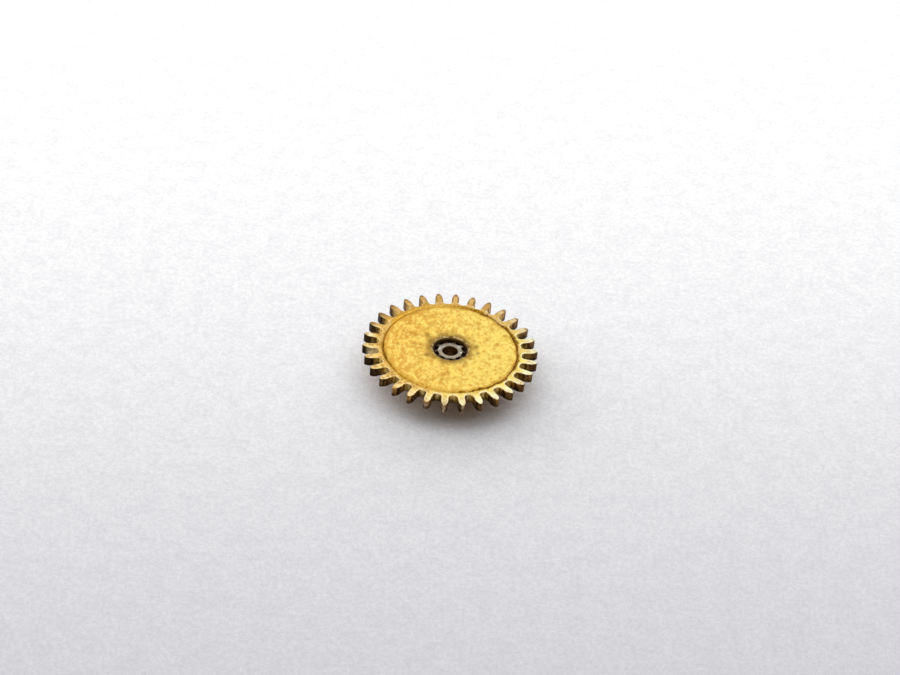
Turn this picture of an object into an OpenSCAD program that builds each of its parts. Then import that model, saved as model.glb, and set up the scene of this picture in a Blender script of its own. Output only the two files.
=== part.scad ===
// Reversing wheel of a self-winding watch, in millimetres.
// A toothed wheel turns freely one way round a hollow steel pinion, and drives it the other way
// through two rocking pawls that work on a ratchet inside the wheel.
// The axis is +Z and the origin is on it, at the pinion's lower end.

/* [Toothed wheel] */
// Diameter over the tooth tips
tip_d = 5; // [4.9:0.05:5.6]
// Number of teeth round the rim
tooth_count = 30; // [28:1:31]
// Depth of a tooth from its tip to the gullet
tooth_depth = 0.46; // [0.4:0.01:0.48]
// Width of a tooth between its straight flanks
tooth_w = 0.21; // [0.17:0.01:0.23]
// Length of the pointed end of a tooth
tooth_point = 0.19; // [0.16:0.01:0.26]
// Width that is left at the tip of a tooth
tooth_tip_w = 0.05; // [0.02:0.002:0.06]
// Radius of the round corners of a gullet
gullet_r = 0.1; // [0.04:0.01:0.1]
// Thickness of the teeth and the rim
tooth_t = 0.28; // [0.25:0.01:0.36]
// Angle of the first tooth from +X, in degrees
tooth_turn = 6; // [0:0.5:12]

/* [Drum] */
// Height of the drum's underside above the pinion's lower end
drum_lift = 0.28; // [0.2:0.01:0.5]
// Depth of the drum below the teeth
drum_drop = 0.15; // [0.12:0.01:0.2]
// Thickness of the drum's side wall
drum_wall = 0.1; // [0.07:0.01:0.18]
// Thickness of the drum's floor
floor_t = 0.11; // [0.08:0.01:0.14]
// Chamfer round the drum's lower edge
drum_chamfer = 0.04; // [0.01:0.01:0.06]
// Wall between the gullets and the seat of the cover disc
rim_wall = 0.125; // [0.11:0.005:0.18]
// Width of the ledge that carries the cover disc
ledge_w = 0.165; // [0.1:0.005:0.18]

/* [Cover disc] */
// Thickness of the cover disc
cover_t = 0.12; // [0.09:0.01:0.14]
// Depth of the cover disc below the rim
cover_sink = 0.01; // [0.005:0.005:0.03]
// Width of the joint groove, half of it in the disc and half in the rim
groove_w = 0.09; // [0.04:0.01:0.12]
// Width of the chamfer round the top of the centre hole
hole_chamfer_w = 0.05; // [0.02:0.005:0.09]
// Depth of the chamfer round the top of the centre hole
hole_chamfer_h = 0.025; // [0.01:0.005:0.06]

/* [Pinion] */
// Number of pinion leaves
leaf_count = 10; // [8:1:11]
// Diameter over the leaf tips
leaf_tip_d = 0.94; // [0.9:0.01:1.04]
// Depth of a leaf
leaf_depth = 0.14; // [0.1:0.01:0.14]
// Width of a leaf between its flanks
leaf_w = 0.1; // [0.08:0.01:0.11]
// Length of the rounded end of a leaf
leaf_point = 0.06; // [0.04:0.005:0.08]
// Width that is left at the tip of a leaf
leaf_tip_w = 0.06; // [0.04:0.005:0.07]
// Radius of the corners between the leaves
leaf_root_r = 0.03; // [0.01:0.005:0.04]
// Fall of the leaves' upper ends from the hub to the tips
leaf_fall = 0.04; // [0.01:0.005:0.06]
// Angle of the first leaf from +X, in degrees
leaf_turn = 4.7; // [0:0.1:36]
// Diameter of the bore that runs on a fixed post
bore_d = 0.44; // [0.4:0.01:0.5]
// Chamfer at both ends of the bore
bore_chamfer = 0.02; // [0.005:0.005:0.03]
// Chamfer on the lower ends of the leaves
leaf_chamfer = 0.03; // [0.01:0.005:0.04]
// Radius of the collar past the leaf tips
collar_over = 0.01; // [0.005:0.005:0.03]
// Length of the collar that shows below the drum
collar_show = 0.03; // [0.02:0.005:0.06]
// Height of the pinion's upper end above the cover disc's underside
pinion_rise = 0.035; // [0.01:0.005:0.08]

/* [Ratchet and pawls] */
// Number of ratchet teeth
ratchet_count = 12; // [11:1:13]
// Diameter over the ratchet teeth
ratchet_tip_d = 1.9; // [1.8:0.02:2]
// Depth of a ratchet tooth
ratchet_depth = 0.17; // [0.16:0.005:0.2]
// Flat land at the tip of a ratchet tooth
ratchet_land = 0.025; // [0.01:0.005:0.03]
// Distance from the drum's inner wall to the middle of a pawl's pin
pawl_reach = 0.3; // [0.28:0.01:0.33]
// Width of a pawl's arm
pawl_w = 0.26; // [0.2:0.01:0.3]
// Wall of metal round a pawl's pin
pawl_eye = 0.095; // [0.08:0.005:0.11]
// Depth of a pawl's nose below the ratchet's tips when it is engaged
pawl_bite = 0.12; // [0.1:0.005:0.12]
// Height of a pawl's tail above the ratchet's tips when the nose is engaged
tail_lift = 0.075; // [0.07:0.005:0.09]
// Gap between an engaged nose and the steep face that it drives
nose_gap = 0.045; // [0.045:0.005:0.06]
// Diameter of a pawl's pin
pin_d = 0.22; // [0.18:0.01:0.24]

/* [Fits] */
// Running clearance round the pinion's collar, on the radius
collar_clear = 0.02; // [0.01:0.005:0.03]
// Clearance between the leaf tips and the cover disc's hole, on the radius
leaf_clear = 0.03; // [0.02:0.005:0.05]
// Running clearance between a pawl and its pin, on the radius
pin_clear = 0.015; // [0.01:0.005:0.025]
// End shake of the ratchet and pawls, above and below
end_shake = 0.02; // [0.01:0.005:0.03]
// Gap between the top of a pawl's pin and the cover disc
pin_head_clear = 0.01; // [0.005:0.005:0.02]

/* [Hidden] */
$fn = 96;

// Radii of the toothed wheel, from the tips inwards
tip_r = tip_d / 2;
root_r = tip_r - tooth_depth;
seat_r = root_r - rim_wall;
cavity_r = seat_r - ledge_w;
drum_r = cavity_r + drum_wall;

// Heights, from the drum's underside upwards
floor_z = drum_lift + floor_t;
tooth_z = drum_lift + drum_drop;
rim_z = tooth_z + tooth_t;
ceiling_z = rim_z - cover_sink - cover_t;
works_z = floor_z + end_shake;
works_t = ceiling_z - floor_z - 2 * end_shake;
pinion_z = ceiling_z + pinion_rise;
collar_z = drum_lift - collar_show;

// Step from the roots of the leaves to the edge of the flat round the bore
hub_step = 0.005;

// Radii round the pinion
leaf_tip_r = leaf_tip_d / 2;
leaf_root = leaf_tip_r - leaf_depth;
hub_r = leaf_root + hub_step;
collar_r = leaf_tip_r + collar_over;
floor_hole_r = collar_r + collar_clear;
cover_hole_r = leaf_tip_r + leaf_clear;
bore_r = bore_d / 2;

// Ratchet and pawls, in plan
ratchet_r = ratchet_tip_d / 2;
ratchet_pitch = 360 / ratchet_count;
pivot_r = cavity_r - pawl_reach;
pin_r = pin_d / 2;
eye_hole_r = pin_r + pin_clear;
eye_r = eye_hole_r + pawl_eye;
arm_in = pivot_r - pawl_w / 2;
arm_out = pivot_r + pawl_w / 2;
// The second pawl stands a whole number of ratchet teeth from the first, so both engage together
far_side = floor(ratchet_count / 2) * ratchet_pitch;
// The nose and the tail stand two and a half ratchet teeth apart, so one is lifted as the other drops
hook_a = 1.25 * ratchet_pitch;
face_a = hook_a + arc_deg(nose_gap, ratchet_r);
// Widths of the nose and the tail where they leave the arm, and at their tips
hook_root = 0.32;
hook_tip = 0.05;

// How far cutters run past the faces that they cut
over = 0.1;
// Least flat that is left between two round gullet corners
least_flat = 0.008;
// Steps in each round stretch of a tooth outline
arc_steps = 5;

// Angle of an arc of this length at this radius
function arc_deg(length, r) = length / r * 180 / PI;

// Point at a radius and an angle
function polar(r, a) = [r * cos(a), r * sin(a)];

// Point turned about the axis
function turned(p, a) = [p[0] * cos(a) - p[1] * sin(a), p[0] * sin(a) + p[1] * cos(a)];

// One side of a tooth from its gullet to its tip, as [radius along the tooth, half width]
function tooth_side(tip, root, half_w, half_tip, point, corner) =
    let (
        drop = half_w - half_tip,
        arc_r = (point * point + drop * drop) / (2 * drop),
        sweep = asin(point / arc_r)
    )
    concat(
        [for (i = [0:arc_steps]) let (a = 90 * i / arc_steps)
            [root + corner * (1 - cos(a)), half_w + corner * (1 - sin(a))]],
        [for (i = [0:arc_steps]) let (a = sweep * i / arc_steps)
            [tip - point + arc_r * sin(a), half_w - arc_r * (1 - cos(a))]]
    );

// Outline of a whole ring of pointed teeth
function toothed_outline(count, turn, tip, root, width, tip_w, point, corner) =
    let (
        room = root * tan(180 / count) - width / 2 - least_flat / 2,
        side = tooth_side(tip, root, width / 2, tip_w / 2, point, min(corner, room)),
        last = len(side) - 1
    )
    [for (k = [0:count - 1]) for (i = [0:2 * last + 1])
        let (p = i <= last ? [side[i][0], -side[i][1]] : side[2 * last + 1 - i])
        turned(p, turn + 360 * k / count)];

// Cylinder with a chamfer round its top edge
module chamfered_top(r, h, c) {
    cylinder(r = r, h = h - c);
    translate([0, 0, h - c]) cylinder(r1 = r, r2 = r - c, h = c);
}

// Cutter for a hole whose mouth at height z opens upwards with a chamfer of this width and depth
module mouth(r, z, w, h) {
    translate([0, 0, z - h]) cylinder(r1 = r, r2 = r + w * (h + over) / h, h = h + over);
}

module toothed_rim() {
    outline = toothed_outline(tooth_count, tooth_turn, tip_r, root_r, tooth_w, tooth_tip_w,
                              tooth_point, gullet_r);
    translate([0, 0, tooth_z]) linear_extrude(height = tooth_t) polygon(outline);
}

// Toothed rim and drum in one turned and cut piece, open at the top for the cover disc
module toothed_wheel() {
    color("#d9a93c")
    difference() {
        union() {
            toothed_rim();
            translate([0, 0, drum_lift]) {
                cylinder(r1 = drum_r - drum_chamfer, r2 = drum_r, h = drum_chamfer);
                translate([0, 0, drum_chamfer]) cylinder(r = drum_r, h = drum_drop - drum_chamfer + tooth_t / 2);
            }
        }
        translate([0, 0, floor_z]) cylinder(r = cavity_r, h = rim_z - floor_z + over);
        translate([0, 0, ceiling_z]) cylinder(r = seat_r, h = rim_z - ceiling_z + over);
        mouth(seat_r, rim_z, groove_w / 2, groove_w / 2);
        translate([0, 0, drum_lift - over]) cylinder(r = floor_hole_r, h = floor_t + 2 * over);
        for (side = [0, far_side]) rotate([0, 0, side])
            translate([pivot_r, 0, drum_lift - over]) cylinder(r = pin_r, h = floor_t + 2 * over);
    }
}

// Disc that closes the drum, pressed into its seat
module cover_disc() {
    color("#e8bd4e")
    translate([0, 0, ceiling_z])
    difference() {
        chamfered_top(seat_r, cover_t, groove_w / 2);
        translate([0, 0, -over]) cylinder(r = cover_hole_r, h = cover_t + 2 * over);
        mouth(cover_hole_r, cover_t, hole_chamfer_w, hole_chamfer_h);
    }
}

module leaves(height) {
    outline = toothed_outline(leaf_count, leaf_turn, leaf_tip_r, leaf_root, leaf_w, leaf_tip_w,
                              leaf_point, leaf_root_r);
    linear_extrude(height = height) polygon(outline);
}

// Cutter that lets the upper ends of the leaves fall away from the hub
module leaf_slope() {
    steep = leaf_fall / (leaf_tip_r - hub_r);
    rotate_extrude() polygon([
        [hub_r - over, pinion_z + steep * over],
        [collar_r, pinion_z - steep * (collar_r - hub_r)],
        [collar_r, pinion_z + over]
    ]);
}

// Hollow pinion: leaves below the drum, a collar that the drum turns on, and a seat for the ratchet
module pinion() {
    color("#9aa0a6")
    difference() {
        union() {
            intersection() {
                leaves(collar_z + over);
                union() {
                    cylinder(r1 = collar_r - leaf_chamfer, r2 = collar_r, h = leaf_chamfer);
                    translate([0, 0, leaf_chamfer]) cylinder(r = collar_r, h = collar_z);
                }
            }
            translate([0, 0, collar_z]) cylinder(r = collar_r, h = works_z - collar_z);
            translate([0, 0, works_z - over / 2]) leaves(pinion_z - works_z + over / 2);
        }
        translate([0, 0, -over]) cylinder(r = bore_r, h = pinion_z + 2 * over);
        mouth(bore_r, pinion_z, bore_chamfer, bore_chamfer);
        mirror([0, 0, 1]) mouth(bore_r, 0, bore_chamfer, bore_chamfer);
        leaf_slope();
    }
}

// Ratchet wheel, pressed on the pinion's leaves above the collar
module ratchet_wheel() {
    outline = [for (k = [0:ratchet_count - 1]) let (a = face_a + k * ratchet_pitch)
        for (p = [
            polar(ratchet_r - ratchet_depth, a),
            polar(ratchet_r, a),
            polar(ratchet_r, a + arc_deg(ratchet_land, ratchet_r))
        ]) p];
    color("#7d848b")
    translate([0, 0, works_z])
    difference() {
        linear_extrude(height = works_t) polygon(outline);
        translate([0, 0, -over]) cylinder(r = leaf_tip_r, h = works_t + 2 * over);
    }
}

// Outline of the +X pawl: a curved arm with a nose ahead of it, a tail behind and an eye for its pin
module pawl_outline() {
    nose_r = ratchet_r - pawl_bite;
    tail_r = ratchet_r + tail_lift;
    root_a = arc_deg(hook_root, pivot_r);
    tip_a = arc_deg(hook_tip, ratchet_r);
    difference() {
        union() {
            intersection() {
                difference() {
                    circle(r = arm_out);
                    circle(r = arm_in);
                }
                polygon([[0, 0], polar(2 * arm_out, -hook_a + root_a / 3), polar(2 * arm_out, 0),
                         polar(2 * arm_out, hook_a)]);
            }
            polygon([polar(nose_r, hook_a), polar(nose_r + hook_tip, hook_a - tip_a),
                     polar(arm_in, hook_a - root_a), polar(pivot_r, hook_a - root_a),
                     polar(arm_out, hook_a)]);
            polygon([polar(tail_r, -hook_a), polar(tail_r + hook_tip, -hook_a - tip_a),
                     polar(pivot_r, -hook_a - tip_a), polar(arm_out, -hook_a + root_a / 3),
                     polar(pivot_r, -hook_a + root_a), polar(arm_in, -hook_a + root_a)]);
            translate([pivot_r, 0]) circle(r = eye_r);
        }
        translate([pivot_r, 0]) circle(r = eye_hole_r);
    }
}

// Rocking pawl on the +X side
module pawl() {
    translate([0, 0, works_z]) linear_extrude(height = works_t) pawl_outline();
}

// Pin that is riveted in the drum's floor and carries a pawl
module pawl_pin() {
    translate([pivot_r, 0, drum_lift])
        cylinder(r = pin_r, h = ceiling_z - pin_head_clear - drum_lift);
}

module pawl_a() { color("#8f959b") pawl(); }
module pawl_b() { color("#8f959b") rotate([0, 0, far_side]) pawl(); }
module pawl_pin_a() { color("#b9bec4") pawl_pin(); }
module pawl_pin_b() { color("#b9bec4") rotate([0, 0, far_side]) pawl_pin(); }

toothed_wheel();
cover_disc();
pinion();
ratchet_wheel();
pawl_a();
pawl_b();
pawl_pin_a();
pawl_pin_b();
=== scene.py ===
"""Looks of the reversing wheel: fine meshes of its pieces, gilding, steel and the photo's view.

Sizes are in millimetres and repeat those of the part's source, whose frame is kept. Meshes and the
stage are made in metres. Angles are in degrees, counter-clockwise from +X as the cover disc is seen.
"""

import math

import bmesh
import bpy
from mathutils import Matrix, Vector


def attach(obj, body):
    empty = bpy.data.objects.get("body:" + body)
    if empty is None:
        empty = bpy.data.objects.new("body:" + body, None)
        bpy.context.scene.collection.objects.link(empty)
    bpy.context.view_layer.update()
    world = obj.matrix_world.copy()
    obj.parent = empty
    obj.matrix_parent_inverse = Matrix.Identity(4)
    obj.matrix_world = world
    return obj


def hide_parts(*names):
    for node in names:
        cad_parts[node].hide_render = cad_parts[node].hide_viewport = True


MM = 0.001

# Toothed wheel
TIP_R = 2.5
TOOTH_COUNT = 30
TOOTH_TURN = 6
ROOT_R = 2.04
TOOTH_W = 0.21
TOOTH_POINT = 0.19
TOOTH_TIP_W = 0.05
TOOTH_TIP_R = 0.02
GULLET_R = 0.1
SEAT_R = 1.915
CAVITY_R = 1.75
DRUM_R = 1.85
DRUM_CHAMFER = 0.04
FLOOR_HOLE_R = 0.5

# Heights
DRUM_Z = 0.28
FLOOR_Z = 0.39
WORKS_Z = 0.41
TOOTH_Z = 0.43
CEILING_Z = 0.58
COVER_Z = 0.70
RIM_Z = 0.71

# Cover disc, and the joint groove that is cut half in it and half in the rim
GROOVE = 0.045
GROOVE_INNER = SEAT_R - GROOVE
GROOVE_OUTER = SEAT_R + GROOVE
COVER_HOLE_R = 0.5
HOLE_CHAMFER_W = 0.05
HOLE_CHAMFER_H = 0.025

# Pinion
LEAF_COUNT = 10
LEAF_TURN = 4.7
LEAF_TIP_R = 0.47
LEAF_ROOT = 0.33
LEAF_W = 0.1
LEAF_POINT = 0.06
LEAF_TIP_W = 0.06
LEAF_TIP_ROUND = 0.012
LEAF_ROOT_R = 0.03
BORE_R = 0.22
BORE_CHAMFER = 0.02
LEAF_CHAMFER = 0.03
COLLAR_R = 0.48
COLLAR_Z = 0.25
PINION_Z = 0.615
HUB_R = 0.335
LEAF_FALL = 0.04

# Pawl pins
PIVOT_R = 1.45
PIN_R = 0.11
PIN_TOP = 0.57
PIN_END_R = 0.08
RIVET_DROP = 0.004

# Radii of rounded edges, of which EDGE is the usual one, and the angle from which an edge looks sharp
EDGE = 0.01
FINE_EDGE = 0.008
SOFT_EDGE = 0.02
GROOVE_BOTTOM = 0.005
BORE_EDGE = 0.006
COLLAR_EDGE = 0.003
SHARP_ANGLE = 50

# The teeth's rolled upper edges: width, drop, share of the width that is left at a tip, and steps
ROLLED_W = 0.06
ROLLED_H = 0.035
ROLLED_AT_TIP = 0.28
ROLLED_STEPS = 7

# Points in a turned circle, and steps in a tooth's arcs and in a rounded edge
PIN_POINTS = 96
DISC_POINTS = 360
TOOTH_STEPS = 8
LEAF_STEPS = 6
EDGE_STEPS = 3

# The photograph's width in pixels and its view: the camera's angle above the wheel's plane, its roll
# and its distance in tip radii, the lens and the sensor, and the picture's shift in pixels
PHOTO_WIDTH = 900
VIEW_UP = 39.2
VIEW_ROLL = 6.1
VIEW_DISTANCE = 25
LENS = 88.0
SENSOR = 36.0
SHIFT_X = -0.4
SHIFT_Y = 10.4

# Half the floor's side in metres, and the strength of the world as a light and as it is seen
FLOOR_HALF = 0.6
WORLD_LIGHT = 0.04
WORLD_SEEN = 1.0

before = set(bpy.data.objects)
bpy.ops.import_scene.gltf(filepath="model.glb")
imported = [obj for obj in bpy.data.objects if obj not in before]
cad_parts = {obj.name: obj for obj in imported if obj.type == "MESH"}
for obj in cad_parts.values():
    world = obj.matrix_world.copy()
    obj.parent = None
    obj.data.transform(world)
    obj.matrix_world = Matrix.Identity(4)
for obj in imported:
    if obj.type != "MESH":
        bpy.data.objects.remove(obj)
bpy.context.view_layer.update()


# Outlines and profiles


def rounded(points, radii, closed=False):
    """Polyline of (x, y) with an arc at each corner that has a radius."""
    made = []
    for i, (point, radius) in enumerate(zip(points, radii)):
        corner = Vector(point)
        if not radius or (not closed and i in (0, len(points) - 1)):
            made.append(tuple(corner))
            continue
        before = (Vector(points[i - 1]) - corner).normalized()
        after = (Vector(points[(i + 1) % len(points)]) - corner).normalized()
        half = before.angle(after) / 2
        start = corner + before * radius / math.tan(half)
        end = corner + after * radius / math.tan(half)
        centre = corner + (before + after).normalized() * radius / math.sin(half)
        first = math.atan2(*(start - centre).yx)
        turn = math.atan2(*(end - centre).yx) - first
        turn = (turn + math.pi) % (2 * math.pi) - math.pi
        made += [
            (
                centre.x + radius * math.cos(first + turn * k / EDGE_STEPS),
                centre.y + radius * math.sin(first + turn * k / EDGE_STEPS),
            )
            for k in range(EDGE_STEPS + 1)
        ]
    return made


def divided(points, longest):
    """Polyline with more points on the stretches that are longer than that."""
    made = []
    for a, b in zip(points, points[1:]):
        parts = max(1, math.ceil(math.dist(a, b) / longest))
        made += [
            (a[0] + (b[0] - a[0]) * k / parts, a[1] + (b[1] - a[1]) * k / parts)
            for k in range(parts)
        ]
    return made + [points[-1]]


def half_tooth(tip, root, width, tip_width, point, corner, count, tip_round, steps):
    """One side of a tooth from the middle of its gullet to its tip, as (along, across)."""
    half, half_tip = width / 2, tip_width / 2
    drop = half - half_tip
    arc_r = (point**2 + drop**2) / (2 * drop)
    sweep = math.asin(point / arc_r)
    side = [(root, root * math.tan(math.pi / count))]
    for k in range(steps + 1):
        a = math.pi / 2 * k / steps
        side.append(
            (root + corner * (1 - math.cos(a)), half + corner * (1 - math.sin(a)))
        )
    straight = tip - point - root - corner
    for k in (1, 2):
        side.append((root + corner + straight * k / 3, half))
    for k in range(steps + 1):
        a = sweep * k / steps
        side.append(
            (tip - point + arc_r * math.sin(a), half - arc_r * (1 - math.cos(a)))
        )
    side.append((tip, 0))
    radii = [0] * len(side)
    radii[-2] = tip_round
    return rounded(side, radii)


def toothed_outline(count, turn, side):
    """Closed outline of a ring of such teeth, counter-clockwise."""
    made = []
    for k in range(count):
        a = math.radians(turn + 360 * k / count)
        tooth = [(x, -y) for x, y in side] + side[-2:0:-1]
        made += [
            (
                x * math.cos(a) - y * math.sin(a),
                x * math.sin(a) + y * math.cos(a),
            )
            for x, y in tooth
        ]
    return made


def inset(outline, distance, shares=None):
    """Closed counter-clockwise outline moved inwards by a distance, or by its share at each point."""
    made = []
    for i, point in enumerate(outline):
        here = Vector(point)
        into = (here - Vector(outline[i - 1])).normalized()
        out = (Vector(outline[(i + 1) % len(outline)]) - here).normalized()
        inward = Vector((-into.y - out.y, into.x + out.x)).normalized()
        # A sharp corner moves no further than twice the distance
        lean = max(0.5, inward.dot(Vector((-into.y, into.x))))
        share = shares[i] if shares else 1
        made.append(tuple(here + inward * share * distance / lean))
    return made


def circle_at(angles, r, z):
    return [(r * math.cos(a), r * math.sin(a), z) for a in angles]


def turned_angles(points):
    return [2 * math.pi * k / points for k in range(points)]


def angles_of(outline):
    return [math.atan2(y, x) for x, y in outline]


# Meshes


def new_piece(name, mesh, body, slot, material, *nodes):
    """A piece of the wheel that rides on a body and stands for CAD nodes."""
    mesh.materials.clear()
    mesh.materials.append(material)
    piece = bpy.data.objects.new(name, mesh)
    bpy.context.scene.collection.objects.link(piece)
    for face in mesh.polygons:
        face.use_smooth = True
    mesh.set_sharp_from_angle(angle=math.radians(SHARP_ANGLE))
    weighted = piece.modifiers.new("weighted normals", "WEIGHTED_NORMAL")
    weighted.keep_sharp = True
    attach(piece, body)
    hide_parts(*nodes)
    return piece


def loft(name, rings, ends_closed=False, flat_join=False):
    """Closed mesh through rings of equal length, of which the last joins the first.

    With ends_closed each of these two is filled by itself. With flat_join they bound a flat face
    between them, which is filled with triangles.
    """
    count = len(rings[0])
    points = [tuple(c * MM for c in p) for ring in rings for p in ring]
    pairs = list(zip(range(len(rings)), range(1, len(rings))))
    if not ends_closed and not flat_join:
        pairs.append((len(rings) - 1, 0))
    faces = [
        (
            a * count + j,
            a * count + (j + 1) % count,
            b * count + (j + 1) % count,
            b * count + j,
        )
        for a, b in pairs
        for j in range(count)
    ]
    if ends_closed:
        for ring, first in ((rings[0], 0), (rings[-1], (len(rings) - 1) * count)):
            points.append(tuple(sum(p[i] for p in ring) / count * MM for i in range(3)))
            faces += [
                (first + j, first + (j + 1) % count, len(points) - 1)
                for j in range(count)
            ]
    mesh = bpy.data.meshes.new(name)
    mesh.from_pydata(points, [], faces)
    shape = bmesh.new()
    shape.from_mesh(mesh)
    if flat_join:
        open_edges = [edge for edge in shape.edges if edge.is_boundary]
        bmesh.ops.triangle_fill(shape, edges=open_edges, use_beauty=True)
    bmesh.ops.recalc_face_normals(shape, faces=shape.faces)
    shape.to_mesh(mesh)
    shape.free()
    return mesh


def with_holes(mesh, centres, r, low, high):
    """The mesh with round holes through it along Z."""
    body = bpy.data.objects.new("uncut", mesh)
    bpy.context.scene.collection.objects.link(body)
    cutters = []
    angles = turned_angles(PIN_POINTS)
    for x, y in centres:
        rings = [
            [(x + px, y + py, z) for px, py, _ in circle_at(angles, r, z)]
            for z in (low, high)
        ]
        cutter = bpy.data.objects.new("cutter", loft("cutter", rings, ends_closed=True))
        bpy.context.scene.collection.objects.link(cutter)
        cutters.append(cutter)
        cut = body.modifiers.new("hole", "BOOLEAN")
        cut.operation, cut.solver, cut.object = "DIFFERENCE", "EXACT", cutter
    seen = body.evaluated_get(bpy.context.evaluated_depsgraph_get())
    made = bpy.data.meshes.new_from_object(seen)
    made.name = mesh.name
    for spare in (body, *cutters):
        bpy.data.objects.remove(spare)
    return made


def toothed_wheel_mesh():
    """Ring of teeth and drum, through rings that all follow the teeth's outline in angle."""
    gullet_flat = 0.004
    room = ROOT_R * math.tan(math.pi / TOOTH_COUNT) - TOOTH_W / 2 - gullet_flat
    side = half_tooth(
        TIP_R,
        ROOT_R,
        TOOTH_W,
        TOOTH_TIP_W,
        TOOTH_POINT,
        min(GULLET_R, room),
        TOOTH_COUNT,
        TOOTH_TIP_R,
        TOOTH_STEPS,
    )
    outline = toothed_outline(TOOTH_COUNT, TOOTH_TURN, side)
    angles = angles_of(outline)
    # The rolled edge narrows towards a tooth's tip
    shares = [
        min(1, max(ROLLED_AT_TIP, (TIP_R - math.hypot(x, y)) / TOOTH_POINT))
        for x, y in outline
    ]
    rings = []
    for k in range(ROLLED_STEPS + 1):
        a = math.pi / 2 * k / ROLLED_STEPS
        into, drop = ROLLED_W * (1 - math.sin(a)), ROLLED_H * (1 - math.cos(a))
        rings.append([(x, y, RIM_Z - drop) for x, y in inset(outline, into, shares)])
    lower = rounded([(0, 1), (0, 0), (1, 0)], [0, EDGE, 0])[1:-1]
    wall = [(0, RIM_Z - ROLLED_H)] + [(into, TOOTH_Z + z) for into, z in lower]
    for into, z in divided(wall, longest=0.1)[1:]:
        rings.append([(x, y, z) for x, y in inset(outline, into)])
    # Radius, height and rounding of the turned surfaces, from under the rim round to its top
    under_rim = ROOT_R - 0.06
    on_rim = GROOVE_OUTER + 0.01
    turned = [
        (under_rim, TOOTH_Z, 0),
        (DRUM_R, TOOTH_Z, EDGE),
        (DRUM_R, DRUM_Z + DRUM_CHAMFER, EDGE),
        (DRUM_R - DRUM_CHAMFER, DRUM_Z, EDGE),
        (FLOOR_HOLE_R, DRUM_Z, EDGE),
        (FLOOR_HOLE_R, FLOOR_Z, EDGE),
        (CAVITY_R, FLOOR_Z, SOFT_EDGE),
        (CAVITY_R, CEILING_Z, EDGE),
        (SEAT_R, CEILING_Z, EDGE),
        (SEAT_R, RIM_Z - GROOVE, GROOVE_BOTTOM),
        (GROOVE_OUTER, RIM_Z, FINE_EDGE),
        (on_rim, RIM_Z, 0),
    ]
    profile = rounded([p[:2] for p in turned], [p[2] for p in turned])
    rings += [circle_at(angles, r, z) for r, z in divided(profile, longest=0.3)]
    uncut = loft("toothed_wheel", rings, flat_join=True)
    pins = [(PIVOT_R, 0), (-PIVOT_R, 0)]
    return with_holes(uncut, pins, PIN_R, low=DRUM_Z - 0.08, high=FLOOR_Z + 0.015)


def cover_disc_mesh():
    """Turned disc, with its half of the joint groove and a chamfered hole."""
    turned = [
        (COVER_HOLE_R, CEILING_Z, EDGE),
        (SEAT_R, CEILING_Z, EDGE),
        (SEAT_R, COVER_Z - GROOVE, GROOVE_BOTTOM),
        (GROOVE_INNER, COVER_Z, EDGE),
        (COVER_HOLE_R + HOLE_CHAMFER_W, COVER_Z, SOFT_EDGE),
        (COVER_HOLE_R, COVER_Z - HOLE_CHAMFER_H, FINE_EDGE),
    ]
    profile = rounded([p[:2] for p in turned], [p[2] for p in turned], closed=True)
    profile = divided(profile + profile[:1], longest=0.1)[:-1]
    angles = turned_angles(DISC_POINTS)
    return loft("cover_disc", [circle_at(angles, r, z) for r, z in profile])


def pinion_mesh():
    """Leaves from the upper end down past the collar to the lower end, and back up the bore."""
    side = half_tooth(
        LEAF_TIP_R,
        LEAF_ROOT,
        LEAF_W,
        LEAF_TIP_W,
        LEAF_POINT,
        LEAF_ROOT_R,
        LEAF_COUNT,
        LEAF_TIP_ROUND,
        LEAF_STEPS,
    )
    outline = toothed_outline(LEAF_COUNT, LEAF_TURN, side)
    angles = angles_of(outline)

    def leaves(into, z):
        return [(x, y, z) for x, y in inset(outline, into)]

    def held_in(limit, z):
        shares = [min(1, limit / math.hypot(x, y)) for x, y in outline]
        return [(x * share, y * share, z) for (x, y), share in zip(outline, shares)]

    def sloped(into, drop):
        steep = LEAF_FALL / (LEAF_TIP_R - HUB_R)
        return [
            (x, y, PINION_Z - drop - max(0, math.hypot(x, y) - HUB_R) * steep)
            for x, y in inset(outline, into)
        ]

    upper = rounded([(1, 0), (0, 0), (0, 1)], [0, EDGE, 0])[1:-1]
    rings = [sloped(into, drop) for into, drop in upper]
    rings += [leaves(0, z) for z in (0.55, 0.5, 0.45, WORKS_Z)]
    past_leaves = LEAF_TIP_R + 0.006
    collar = rounded(
        [
            (past_leaves, WORKS_Z),
            (COLLAR_R, WORKS_Z),
            (COLLAR_R, COLLAR_Z),
            (past_leaves, COLLAR_Z),
        ],
        [0, COLLAR_EDGE, COLLAR_EDGE, 0],
    )
    rings += [circle_at(angles, r, z) for r, z in divided(collar, longest=0.05)]
    lower_tip = COLLAR_R - LEAF_CHAMFER
    free_leaf = COLLAR_Z - LEAF_CHAMFER
    rings += [leaves(0, COLLAR_Z - free_leaf * k / 2) for k in range(3)]
    rings.append(held_in(LEAF_TIP_R, LEAF_TIP_R - lower_tip))
    rings.append(held_in(lower_tip, 0))
    inside_roots = LEAF_ROOT - 0.03
    bore = rounded(
        [
            (inside_roots, 0),
            (BORE_R + BORE_CHAMFER, 0),
            (BORE_R, BORE_CHAMFER),
            (BORE_R, PINION_Z - BORE_CHAMFER),
            (BORE_R + BORE_CHAMFER, PINION_Z),
            (inside_roots, PINION_Z),
        ],
        [0, BORE_EDGE, BORE_EDGE, BORE_EDGE, BORE_EDGE, 0],
    )
    rings += [circle_at(angles, r, z) for r, z in divided(bore, longest=0.1)]
    return loft("pinion", rings)


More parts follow.
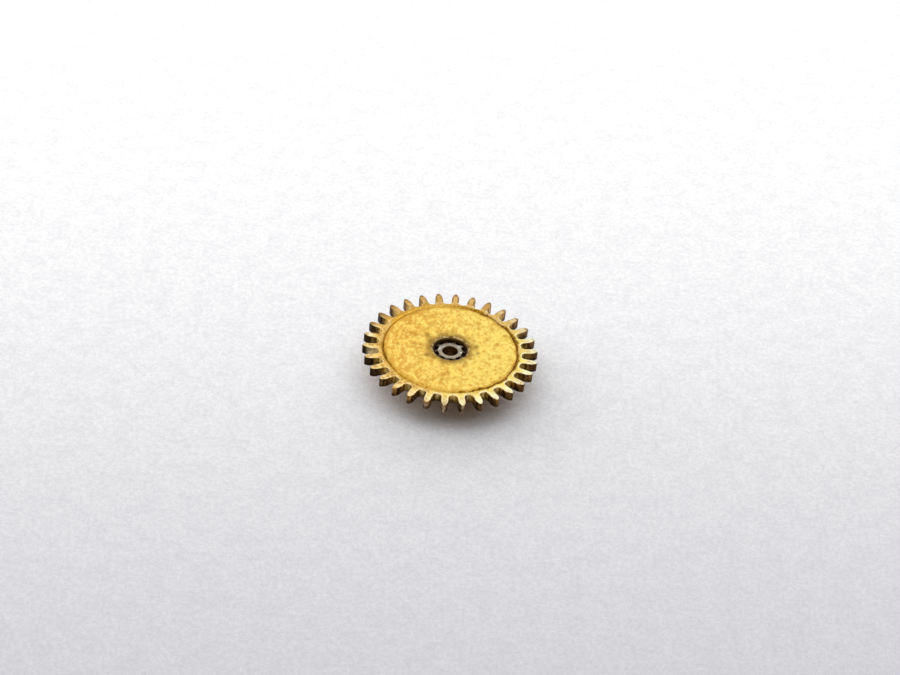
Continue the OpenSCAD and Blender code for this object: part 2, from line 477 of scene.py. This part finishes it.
def pin_mesh(name, x):
    """Riveted pin, its lower end spread a little and its upper end rounded."""
    profile = rounded(
        [
            (PIN_END_R, DRUM_Z - RIVET_DROP),
            (PIN_R, DRUM_Z),
            (PIN_R, PIN_TOP),
            (PIN_END_R, PIN_TOP),
        ],
        [0, EDGE, EDGE, 0],
    )
    # The ends are filled within small circles
    profile = [(0.05, DRUM_Z - RIVET_DROP), *profile, (0.04, PIN_TOP)]
    angles = turned_angles(PIN_POINTS)
    rings = [
        [(x + px, py, z) for px, py, _ in circle_at(angles, r, z)]
        for r, z in divided(profile, longest=0.08)
    ]
    return loft(name, rings, ends_closed=True)


# Materials


class Graph:
    """Node tree of a new material, with its coordinates in millimetres."""

    def __init__(self, name):
        self.material = bpy.data.materials.new(name)
        self.material.use_nodes = True
        self.tree = self.material.node_tree
        self.tree.nodes.clear()
        self.shader = self.tree.nodes.new("ShaderNodeBsdfPrincipled")
        output = self.tree.nodes.new("ShaderNodeOutputMaterial")
        self.tree.links.new(self.shader.outputs[0], output.inputs["Surface"])
        place = self.tree.nodes.new("ShaderNodeTexCoord")
        self.place = self.vector("SCALE", place.outputs["Object"], scale=1 / MM)

    def put(self, socket, value):
        if isinstance(value, bpy.types.NodeSocket):
            self.tree.links.new(value, socket)
        elif socket.type == "RGBA":
            socket.default_value = (*value, 1)
        else:
            socket.default_value = value

    def vector(self, operation, a, b=None, scale=None):
        node = self.tree.nodes.new("ShaderNodeVectorMath")
        node.operation = operation
        self.put(node.inputs[0], a)
        if b is not None:
            self.put(node.inputs[1], b)
        if scale is not None:
            node.inputs["Scale"].default_value = scale
        return node.outputs["Value" if operation == "LENGTH" else "Vector"]

    def math(self, operation, a, b, clamp=False):
        node = self.tree.nodes.new("ShaderNodeMath")
        node.operation, node.use_clamp = operation, clamp
        self.put(node.inputs[0], a)
        self.put(node.inputs[1], b)
        return node.outputs[0]

    def times(self, a, b):
        return self.math("MULTIPLY", a, b)

    def larger(self, a, b):
        return self.math("MAXIMUM", a, b)

    def parts(self, vector):
        node = self.tree.nodes.new("ShaderNodeSeparateXYZ")
        self.put(node.inputs[0], vector)
        return node.outputs

    def mix(self, share, a, b):
        node = self.tree.nodes.new("ShaderNodeMix")
        node.data_type = "RGBA"
        self.put(node.inputs["Factor"], share)
        self.put(node.inputs["A"], a)
        self.put(node.inputs["B"], b)
        return node.outputs["Result"]

    def ramp(self, value, low, high, start=0.0, end=1.0):
        """Smooth step of a value from one number to another."""
        node = self.tree.nodes.new("ShaderNodeMapRange")
        node.interpolation_type = "SMOOTHSTEP"
        for socket, v in zip(node.inputs, (value, low, high, start, end)):
            self.put(socket, v)
        return node.outputs[0]

    def noise(self, scale, detail, rough, place=None, shift=None):
        """Cloudy noise with this many cells a millimetre."""
        node = self.tree.nodes.new("ShaderNodeTexNoise")
        where = place or self.place
        if shift:
            where = self.vector("ADD", where, shift)
        self.put(node.inputs["Vector"], where)
        node.inputs["Scale"].default_value = scale
        node.inputs["Detail"].default_value = detail
        node.inputs["Roughness"].default_value = rough
        return node.outputs["Fac"]

    def cells(self, scale, shift):
        """Distance from the nearest of scattered points."""
        node = self.tree.nodes.new("ShaderNodeTexVoronoi")
        self.put(node.inputs["Vector"], self.vector("ADD", self.place, shift))
        node.inputs["Scale"].default_value = scale
        return node.outputs["Distance"]

    def bump(self, height, microns, strength, normal=None):
        node = self.tree.nodes.new("ShaderNodeBump")
        node.inputs["Strength"].default_value = strength
        node.inputs["Distance"].default_value = microns * 1e-6
        self.put(node.inputs["Height"], height)
        if normal:
            self.put(node.inputs["Normal"], normal)
        return node.outputs[0]

    def radius(self):
        """Distance from the wheel's axis, in millimetres."""
        return self.vector("LENGTH", self.vector("MULTIPLY", self.place, (1, 1, 0)))

    def facing_up(self):
        """Upward part of the surface's own normal, from -1 to 1."""
        shape = self.tree.nodes.new("ShaderNodeNewGeometry")
        turned = self.tree.nodes.new("ShaderNodeVectorTransform")
        turned.vector_type = "NORMAL"
        turned.convert_from, turned.convert_to = "WORLD", "OBJECT"
        self.put(turned.inputs[0], shape.outputs["Normal"])
        return self.parts(turned.outputs[0])[2]

    def uneven(self, value, noise, amount):
        """The value moved to and fro by a noise."""
        either_way = self.math("SUBTRACT", noise, 0.5)
        return self.math("ADD", value, self.times(either_way, amount))

    def spot(self, angle, r, along, across):
        """1 in an oval patch at this angle and distance from the axis, fading to 0 at its edge."""
        a = math.radians(angle)
        middle = (r * math.cos(a), r * math.sin(a), 0)
        node = self.tree.nodes.new("ShaderNodeVectorRotate")
        node.rotation_type = "Z_AXIS"
        self.put(node.inputs["Vector"], self.vector("SUBTRACT", self.place, middle))
        node.inputs["Angle"].default_value = -a
        squeezed = self.vector("MULTIPLY", node.outputs[0], (1 / across, 1 / along, 0))
        return self.ramp(self.vector("LENGTH", squeezed), 0.2, 1.0, 1.0, 0.0)


def linear(red, green, blue):
    """Linear colour from one in 0 to 255."""
    return tuple(
        c / 12.92 if c <= 0.04045 else ((c + 0.055) / 1.055) ** 2.4
        for c in (red / 255, green / 255, blue / 255)
    )


def gilt_cover_material():
    """Grained gilding, pitted in places and darker round the hole, with painted light and shade."""
    g = Graph("gilt_cover")
    r = g.radius()
    x, _, z = g.parts(g.place)
    long = g.vector("MULTIPLY", g.place, (1, 0.74, 1))
    grain = g.noise(4.2, 3.0, 0.62, place=long)
    fine = g.noise(10.5, 2.0, 0.55, place=long, shift=(7, 3, 1))
    cloud = g.noise(1.6, 2.0, 0.5, shift=(2, 9, 4))
    colour = g.mix(g.ramp(grain, 0.38, 0.62), linear(230, 176, 70), linear(255, 218, 108))
    # Painted highlight: the gilding is paler towards the right
    colour = g.mix(g.ramp(x, -1.8, 2.0, 0.0, 0.6), colour, linear(255, 236, 128))
    colour = g.mix(g.ramp(fine, 0.5, 0.66, 0.0, 0.75), colour, linear(255, 238, 134))
    colour = g.mix(g.ramp(fine, 0.34, 0.46, 0.65, 0.0), colour, linear(222, 166, 60))
    pits = g.ramp(g.cells(3.2, (1, 2, 0)), 0.1, 0.42, 0.7, 0.0)
    pits = g.times(pits, g.ramp(cloud, 0.42, 0.6))
    colour = g.mix(pits, colour, linear(206, 146, 48))
    ragged = g.uneven(r, grain, 0.45)
    colour = g.mix(g.ramp(ragged, 0.52, 0.84, 0.9, 0.0), colour, linear(160, 124, 52))
    # Specks round the hole: angle, distance from the axis and size
    specks = ((15, 0.76, 0.13), (352, 0.8, 0.1), (146, 0.82, 0.14), (212, 0.76, 0.12))
    for angle, where, size in specks:
        spot = g.spot(angle, where, size, size)
        colour = g.mix(g.times(spot, 0.6), colour, linear(150, 112, 40))
    lip = g.mix(g.ramp(fine, 0.4, 0.6), linear(124, 100, 50), linear(200, 176, 120))
    on_lip = g.ramp(r, COVER_HOLE_R + 0.045, COVER_HOLE_R + 0.07, 1.0, 0.0)
    colour = g.mix(on_lip, colour, lip)
    # Painted shade: a darker band at the back left
    back_left_shade = g.times(g.spot(128, 1.90, 1.5, 0.24), g.ramp(ragged, 1.70, 1.84))
    colour = g.mix(back_left_shade, colour, linear(202, 154, 44))
    edge = g.uneven(r, grain, 0.2)
    edge = g.uneven(edge, g.noise(2.3, 1.0, 0.5, shift=(9, 6, 2)), 0.24)
    edge = g.math("SUBTRACT", edge, g.times(g.spot(2, 1.88, 0.8, 0.4), 0.05))
    colour = g.mix(g.ramp(edge, 1.76, 1.86, 0.0, 0.6), colour, linear(212, 162, 60))
    line = g.times(g.ramp(edge, 1.825, 1.84), g.ramp(edge, 1.845, 1.865, 1.0, 0.0))
    line = g.times(line, g.ramp(x, 0.4, 1.4, 0.1, 0.6))
    colour = g.mix(line, colour, linear(176, 130, 34))
    in_groove = g.ramp(edge, GROOVE_INNER, GROOVE_INNER + 0.02)
    colour = g.mix(in_groove, colour, joint_colour(g, fine))
    # Painted shade: darker on the hole's wall and under the disc
    wall = g.ramp(r, COVER_HOLE_R, COVER_HOLE_R + 0.006, 1.0, 0.0)
    below = g.ramp(z, 0.6, 0.64, 1.0, 0.0)
    colour = g.mix(g.larger(wall, below), colour, linear(150, 112, 58))
    g.put(g.shader.inputs["Base Color"], colour)
    g.shader.inputs["Metallic"].default_value = 1.0
    g.put(g.shader.inputs["Roughness"], g.ramp(grain, 0.3, 0.7, 0.5, 0.62))
    rough = g.bump(grain, 12, 0.6)
    g.put(g.shader.inputs["Normal"], g.bump(fine, 7, 0.5, rough))
    return g.material


def joint_colour(g, grain):
    """Old oil in the joint: brown on the right, olive on the left, thin behind and in front."""
    x, _, _ = g.parts(g.place)
    mottle = g.ramp(grain, 0.36, 0.62)
    brown = g.mix(mottle, linear(104, 68, 6), linear(182, 132, 36))
    olive = g.mix(mottle, linear(178, 136, 30), linear(226, 180, 66))
    light = g.mix(mottle, linear(190, 142, 48), linear(240, 194, 92))
    colour = g.mix(g.ramp(x, -0.6, 1.0), olive, brown)
    full = g.times(g.spot(192, 1.93, 1.5, 0.4), 0.45)
    colour = g.mix(full, colour, linear(146, 108, 16))
    clear = g.larger(g.spot(112, 1.93, 1.5, 0.4), g.spot(256, 1.93, 1.2, 0.4))
    return g.mix(clear, colour, light)


def tooth_top_colour(g, grain, cloud):
    """Gilding on the upper faces: paler on the right as a painted highlight, tan behind, burnt brown
    at the left tips.
    """
    r = g.radius()
    x, y, _ = g.parts(g.place)
    # Painted highlight: paler towards the right and the front
    lean = g.math("SUBTRACT", x, g.times(y, 0.4))
    painted_highlight = g.ramp(lean, -1.2, 2.2)
    root = g.mix(painted_highlight, linear(250, 208, 110), linear(255, 236, 132))
    outer = g.mix(painted_highlight, linear(250, 218, 150), linear(255, 252, 208))
    top = g.mix(g.ramp(r, 2.08, 2.34), root, outer)
    tan = g.times(g.ramp(y, 0.7, 2.1), g.ramp(x, -1.2, 2.4, 1.0, 0.55))
    top = g.mix(tan, top, linear(222, 182, 114))
    worn = g.ramp(grain, 0.42, 0.54, 0.85, 0.0)
    worn = g.times(worn, g.ramp(painted_highlight, 0.2, 0.9, 1.0, 0.35))
    top = g.mix(worn, top, linear(190, 142, 70))
    top = g.mix(g.ramp(cloud, 0.44, 0.62, 0.0, 0.35), top, linear(214, 168, 88))
    patch = g.times(g.spot(175, 2.33, 0.3, 0.2), g.ramp(grain, 0.36, 0.5))
    top = g.mix(patch, top, linear(255, 240, 196))
    burnt = g.ramp(grain, 0.42, 0.54, 0.5, 1.0)
    burnt = g.times(burnt, g.spot(152, 2.62, 2.6, 0.54))
    tips = g.times(g.ramp(r, 2.3, 2.48), g.ramp(cloud, 0.5, 0.7, 0.0, 0.5))
    top = g.mix(g.larger(burnt, tips), top, linear(84, 58, 32))
    end = g.times(g.ramp(r, 2.36, 2.46), g.ramp(y, 0.2, 1.4, 0.0, 0.85))
    return g.mix(end, top, linear(140, 102, 62))


def flank_colour(g, grain):
    """Cut faces of the teeth, streaked and painted dark as shade, with painted reflections on the
    wall at each gullet's bottom and on the front tips.
    """
    r = g.radius()
    x, y, z = g.parts(g.place)
    streak = g.noise(11, 2.0, 0.5, place=g.vector("MULTIPLY", g.place, (1, 1, 0.3)))
    near = g.mix(g.ramp(streak, 0.36, 0.62), linear(132, 98, 32), linear(242, 200, 104))
    far = g.mix(g.ramp(streak, 0.36, 0.66), linear(82, 54, 24), linear(204, 152, 84))
    # Painted shade: near black far out on the left, dark on the right and at the outer ends, and
    # darker towards the bottom
    far = g.mix(g.ramp(x, -2.2, -1.0, 0.92, 0.0), far, linear(30, 20, 12))
    side = g.mix(g.ramp(r, 2.1, 2.32), near, far)
    right = g.times(g.ramp(x, 1.2, 2.0), g.ramp(y, -1.0, 0.0, 0.0, 0.5))
    side = g.mix(right, side, linear(58, 36, 14))
    ends = g.times(g.ramp(r, 2.28, 2.44), g.ramp(x, -0.6, 1.0, 0.0, 0.6))
    side = g.mix(ends, side, linear(60, 40, 22))
    side = g.mix(g.ramp(z, 0.44, 0.6, 0.66, 0.0), side, linear(38, 25, 13))
    # Painted reflection: a paler wall at each gullet's bottom
    wall = g.ramp(r, ROOT_R + 0.003, ROOT_R + 0.022, 1.0, 0.0)
    wall = g.times(wall, g.ramp(z, 0.5, 0.6))
    wall = g.times(wall, g.ramp(grain, 0.36, 0.56, 0.6, 1.0))
    side = g.mix(wall, side, linear(226, 202, 144))
    cream = g.ramp(grain, 0.38, 0.5, 0.5, 1.0)
    cream = g.times(cream, g.spot(188.5, 2.22, 0.2, 0.2))
    side = g.mix(cream, side, linear(255, 230, 174))
    # Painted reflection on the end faces of the front teeth's tips
    tip = g.times(g.ramp(y, -2.46, -2.4, 1.0, 0.0), g.ramp(r, 2.45, 2.49))
    tip = g.times(tip, g.ramp(grain, 0.4, 0.56, 0.15, 0.75))
    return g.mix(tip, side, linear(214, 190, 160))


def gilt_wheel_material():
    """Gilding by the face's lean: tops, rolled edges with painted highlights, cut flanks, and the
    drum below, with painted shade on the flanks, the drum and the undersides.
    """
    g = Graph("gilt_wheel")
    r = g.radius()
    x, y, z = g.parts(g.place)
    up = g.facing_up()
    grain = g.noise(8, 3.0, 0.6, shift=(4, 4, 0))
    fine = g.noise(24, 2.0, 0.6, shift=(1, 8, 2))
    cloud = g.noise(2.4, 2.0, 0.5, shift=(5, 1, 7))
    top = tooth_top_colour(g, grain, cloud)
    # Painted highlight on the rolled edges, paler to the right, with painted shade on them behind
    painted_edge_share = g.ramp(up, 0.975, 0.998, 1.0, 0.0)
    painted_edge_share = g.times(painted_edge_share, g.ramp(grain, 0.36, 0.54, 0.3, 1.0))
    painted_edge_share = g.times(painted_edge_share, g.ramp(x, -2.0, 0.0, 0.55, 1.0))
    painted_edge_colour = g.mix(g.ramp(x, -1.6, 1.6), linear(255, 234, 172), linear(255, 246, 204))
    painted_edge_shade = g.times(g.ramp(y, 0.7, 1.7), g.ramp(r, 2.06, 2.14))
    painted_edge_colour = g.mix(painted_edge_shade, painted_edge_colour, linear(140, 104, 58))
    top = g.mix(painted_edge_share, top, painted_edge_colour)
    colour = g.mix(g.ramp(up, 0.72, 0.88), flank_colour(g, grain), top)
    # Painted shade: the drum and the undersides are a darker gilding
    body = g.mix(g.ramp(grain, 0.35, 0.65), linear(178, 130, 52), linear(212, 166, 76))
    low = g.ramp(z, 0.36, 0.44, 1.0, 0.0)
    under = g.ramp(up, -0.9, -0.6, 1.0, 0.0)
    colour = g.mix(g.larger(low, under), colour, body)
    high = g.ramp(z, 0.6, 0.66)
    # Painted shade: the same darker band at the back left, on the rim's top
    back_left_shade = g.times(g.spot(128, 1.97, 1.5, 0.12), high)
    colour = g.mix(back_left_shade, colour, linear(204, 156, 50))
    rim = g.times(g.ramp(r, 1.99, 2.04, 0.4, 0.0), high)
    colour = g.mix(rim, colour, linear(218, 174, 80))
    edge = g.uneven(g.uneven(r, grain, 0.12), cloud, 0.22)
    seam = g.times(g.ramp(edge, 1.945, 1.98, 1.0, 0.0), high)
    colour = g.mix(seam, colour, joint_colour(g, fine))
    g.put(g.shader.inputs["Base Color"], colour)
    g.shader.inputs["Metallic"].default_value = 1.0
    g.put(g.shader.inputs["Roughness"], g.ramp(grain, 0.3, 0.7, 0.38, 0.5))
    g.put(g.shader.inputs["Normal"], g.bump(fine, 2, 0.4, g.bump(grain, 4, 0.4)))
    return g.material


def turned_steel(name, dark, light, rings_per_mm):
    """Graph of turned steel, with fine rings round the axis, and its colour."""
    g = Graph(name)
    _, _, z = g.parts(g.place)
    turned = g.tree.nodes.new("ShaderNodeCombineXYZ")
    g.put(turned.inputs[0], g.radius())
    g.put(turned.inputs[1], z)
    rings = g.noise(rings_per_mm, 3.0, 0.7, place=turned.outputs[0])
    cloud = g.noise(7, 3.0, 0.6)
    colour = g.mix(g.ramp(rings, 0.3, 0.7), dark, light)
    colour = g.mix(g.ramp(cloud, 0.5, 0.75, 0.0, 0.5), colour, dark)
    g.shader.inputs["Metallic"].default_value = 1.0
    g.put(g.shader.inputs["Roughness"], g.ramp(cloud, 0.3, 0.7, 0.26, 0.4))
    g.put(g.shader.inputs["Normal"], g.bump(rings, 1.5, 0.5))
    return g, colour


def pinion_material():
    """Polished steel, with old oil in the bore and on the leaves above the drum's floor, and painted
    highlights and shade on the hub and leaves.
    """
    g, colour = turned_steel("pinion_steel", linear(104, 96, 88), linear(186, 176, 160), 60)
    r = g.radius()
    _, y, z = g.parts(g.place)
    # Painted highlight: paler on the front side
    colour = g.mix(g.ramp(y, -0.3, 0.1, 0.35, 0.0), colour, linear(204, 188, 154))
    # Painted highlight on the hub's left side
    patch = g.times(g.spot(168, 0.33, 0.16, 0.1), 0.7)
    colour = g.mix(patch, colour, linear(214, 210, 204))
    # Painted highlights on leaf ends that catch the light: angle, size and strength
    painted_highlight = 0.0
    for angle, size, strength in ((40, 0.16, 1.0), (148, 0.12, 0.7), (76, 0.12, 0.6)):
        leaf_end = g.times(g.spot(angle, 0.42, size, size), strength)
        painted_highlight = g.larger(leaf_end, painted_highlight)
    glare = g.times(g.spot(40, 0.40, 0.16, 0.16), 0.8)
    colour = g.mix(glare, colour, linear(236, 232, 224))
    # Painted shade on the other leaf ends
    leaf_end_shade = g.math("SUBTRACT", 1.0, painted_highlight, clamp=True)
    leaf_end_shade = g.times(leaf_end_shade, g.ramp(r, HUB_R, HUB_R + 0.025))
    leaf_end_shade = g.times(leaf_end_shade, g.ramp(z, 0.5, 0.56))
    colour = g.mix(leaf_end_shade, colour, linear(84, 66, 48))
    glint = g.times(g.spot(350, 0.33, 0.05, 0.05), g.ramp(z, 0.56, 0.6))
    colour = g.mix(glint, colour, linear(255, 255, 250))
    between = g.times(g.ramp(z, 0.56, 0.58, 1.0, 0.0), g.ramp(z, 0.42, 0.44))
    bore = g.ramp(r, BORE_R + 0.004, BORE_R + 0.012, 1.0, 0.0)
    colour = g.mix(g.larger(between, bore), colour, linear(164, 132, 96))
    g.put(g.shader.inputs["Base Color"], colour)
    return g.material


def pawl_material():
    """Ground steel of the pawls and their pins."""
    g, colour = turned_steel("pawl_steel", linear(140, 138, 136), linear(190, 188, 186), 40)
    g.put(g.shader.inputs["Base Color"], colour)
    return g.material


def ratchet_material():
    """The pinion's steel under a film of old oil."""
    g, colour = turned_steel("oiled_steel", linear(74, 66, 58), linear(132, 122, 110), 60)
    g.put(g.shader.inputs["Base Color"], colour)
    return g.material


def floor_material():
    """Pale paper, painted a little darker towards the front as the light falls off, with faint clouds
    in it.
    """
    g = Graph("floor")
    x, y, _ = g.parts(g.place)
    # The camera is rolled, so the picture's level lines run at this slope across the floor
    slope = 0.169
    away = g.math("SUBTRACT", y, g.times(x, slope))
    grain = g.noise(7, 3.0, 0.7)
    fine = g.noise(15, 2.0, 0.6)
    cloud = g.noise(1.7, 3.0, 0.6, shift=(3, 1, 0))
    colour = g.mix(g.ramp(away, -20, 12), linear(209, 208, 213), linear(255, 255, 255))
    colour = g.mix(g.ramp(grain, 0.35, 0.65, 0.15, 0.0), colour, linear(150, 148, 158))
    colour = g.mix(g.ramp(fine, 0.35, 0.65, 0.12, 0.0), colour, linear(150, 146, 158))
    colour = g.mix(g.ramp(cloud, 0.35, 0.6, 0.09, 0.0), colour, linear(168, 166, 176))
    g.put(g.shader.inputs["Base Color"], colour)
    g.shader.inputs["Roughness"].default_value = 0.9
    g.shader.inputs["Specular IOR Level"].default_value = 0.1
    return g.material


# The stage


def build_stage():
    """The paper that the wheel stands on."""
    mesh = bpy.data.meshes.new("floor")
    corners = ((-1, -1), (1, -1), (1, 1), (-1, 1))
    points = [(x * FLOOR_HALF, y * FLOOR_HALF, 0) for x, y in corners]
    mesh.from_pydata(points, [], [(0, 1, 2, 3)])
    mesh.materials.append(floor_material())
    floor = bpy.data.objects.new("floor", mesh)
    bpy.context.scene.collection.objects.link(floor)


def build_world():
    """White surroundings, bright to the camera and in metal, and faint as a light."""
    world = bpy.data.worlds.new("studio")
    bpy.context.scene.world = world
    world.use_nodes = True
    nodes, links = world.node_tree.nodes, world.node_tree.links
    nodes.clear()
    output = nodes.new("ShaderNodeOutputWorld")
    lit, seen = nodes.new("ShaderNodeBackground"), nodes.new("ShaderNodeBackground")
    for background, strength in ((lit, WORLD_LIGHT), (seen, WORLD_SEEN)):
        background.inputs["Color"].default_value = (1, 1, 1, 1)
        background.inputs["Strength"].default_value = strength
    path = nodes.new("ShaderNodeLightPath")
    total = path.outputs["Is Camera Ray"]
    for ray in ("Is Glossy Ray", "Is Transmission Ray"):
        add = nodes.new("ShaderNodeMath")
        add.operation = "ADD"
        links.new(total, add.inputs[0])
        links.new(path.outputs[ray], add.inputs[1])
        total = add.outputs[0]
    mix = nodes.new("ShaderNodeMixShader")
    links.new(total, mix.inputs[0])
    links.new(lit.outputs[0], mix.inputs[1])
    links.new(seen.outputs[0], mix.inputs[2])
    links.new(mix.outputs[0], output.inputs["Surface"])


def build_lamps():
    """Broad lamps for the sky, which metal already sees in the world, and one that it mirrors."""
    # Name, place, width, height, watts and whether metal mirrors it
    lamps = (
        ("sky", (-0.02, 0.22, 0.19), 0.6, 0.42, 1.55, False),
        ("low sky", (0, 0.3, 0.075), 0.5, 0.13, 0.83, False),
        ("left sky", (-0.26, 0.06, 0.16), 0.3, 0.3, 0.27, False),
        ("low left sky", (-0.27, 0.1, 0.06), 0.25, 0.11, 0.43, False),
        ("right sky", (0.26, 0.06, 0.16), 0.3, 0.3, 0.12, False),
        ("window", (0.19, 0.03, 0.15), 0.08, 0.08, 0.04, True),
    )
    for name, place, wide, high, watts, mirrored in lamps:
        lamp = bpy.data.lights.new(name, "AREA")
        lamp.shape, lamp.size, lamp.size_y = "RECTANGLE", wide, high
        lamp.energy = watts
        shown = bpy.data.objects.new(name, lamp)
        shown.visible_glossy = mirrored
        shown.location = place
        shown.rotation_euler = (-Vector(place)).to_track_quat("-Z", "Y").to_euler()
        bpy.context.scene.collection.objects.link(shown)


def build_camera():
    """The photograph's view of the middle of the wheel's top."""
    elevation, roll = math.radians(VIEW_UP), math.radians(VIEW_ROLL)
    back = Vector((0, -math.cos(elevation), math.sin(elevation)))
    up = Vector((0, math.sin(elevation), math.cos(elevation)))
    across = math.cos(roll) * Vector((1, 0, 0)) + math.sin(roll) * up
    above = back.cross(across)
    turn = Matrix((across, above, back)).transposed()
    camera = bpy.data.cameras.new("camera")
    camera.lens, camera.sensor_width = LENS, SENSOR
    camera.shift_x, camera.shift_y = SHIFT_X / PHOTO_WIDTH, SHIFT_Y / PHOTO_WIDTH
    camera.clip_start, camera.clip_end = 0.001, 10
    shown = bpy.data.objects.new("camera", camera)
    target = Vector((0, 0, RIM_Z)) * MM
    place = target + back * VIEW_DISTANCE * TIP_R * MM
    shown.matrix_world = Matrix.Translation(place) @ turn.to_4x4()
    bpy.context.scene.collection.objects.link(shown)
    bpy.context.scene.camera = shown


# Pieces that replace CAD nodes

gilt_wheel = gilt_wheel_material()
gilt_cover = gilt_cover_material()
pinion_steel = pinion_material()
pawl_steel = pawl_material()

wheel_mesh = toothed_wheel_mesh()
new_piece("gilt_toothed_wheel", wheel_mesh, "wheel", "gilt_wheel", gilt_wheel, "toothed_wheel")
new_piece("gilt_cover_disc", cover_disc_mesh(), "wheel", "gilt_cover", gilt_cover, "cover_disc")
new_piece("hollow_pinion", pinion_mesh(), "pinion", "pinion_steel", pinion_steel, "pinion")
for letter, x in (("a", PIVOT_R), ("b", -PIVOT_R)):
    node = "pawl_pin_" + letter
    mesh = pin_mesh(node, x)
    new_piece("riveted_pin_" + letter, mesh, "wheel", "pawl_steel", pawl_steel, node)

# CAD nodes that stay, with new materials

kept_nodes = (("ratchet_wheel", ratchet_material()), ("pawl_a", pawl_steel), ("pawl_b", pawl_steel))
for node, material in kept_nodes:
    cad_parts[node].data.materials.clear()
    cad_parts[node].data.materials.append(material)

build_stage()
build_world()
build_lamps()
build_camera()

view = bpy.context.scene.view_settings
view.view_transform = "Standard"
